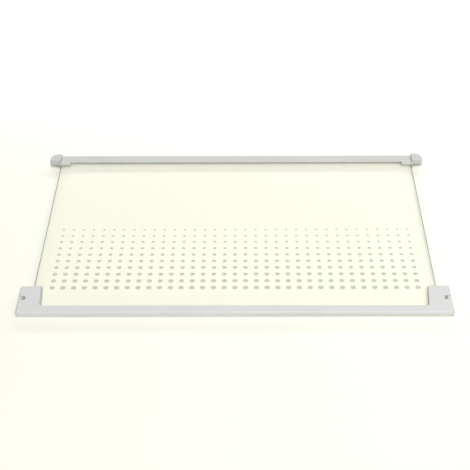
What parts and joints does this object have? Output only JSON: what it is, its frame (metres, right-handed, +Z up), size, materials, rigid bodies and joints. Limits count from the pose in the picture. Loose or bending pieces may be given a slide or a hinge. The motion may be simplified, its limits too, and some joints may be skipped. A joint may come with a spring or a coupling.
{
  "type": "refrigerator shelf",
  "caption": "Flat clear glass refrigerator shelf with rows of printed dots that grow to the front, a light grey front trim with corner blocks and a rear trim with end lugs.",
  "frame": {"origin": "under the middle of the shelf, on the plane that the trims lie on", "axes": "+X across the shelf, to the right seen from its front, +Y from front to back, +Z up"},
  "size_m": [0.476, 0.309, 0.0101],
  "materials": {
    "glass": "clear, polished faces, ground edges",
    "enamel": "fired screen print",
    "trim": "satin moulded"
  },
  "bodies": {
    "root": {"glass_panel": "glass", "dot_print": "enamel", "front_trim": "trim", "rear_trim": "trim"}
  },
  "joints": []
}
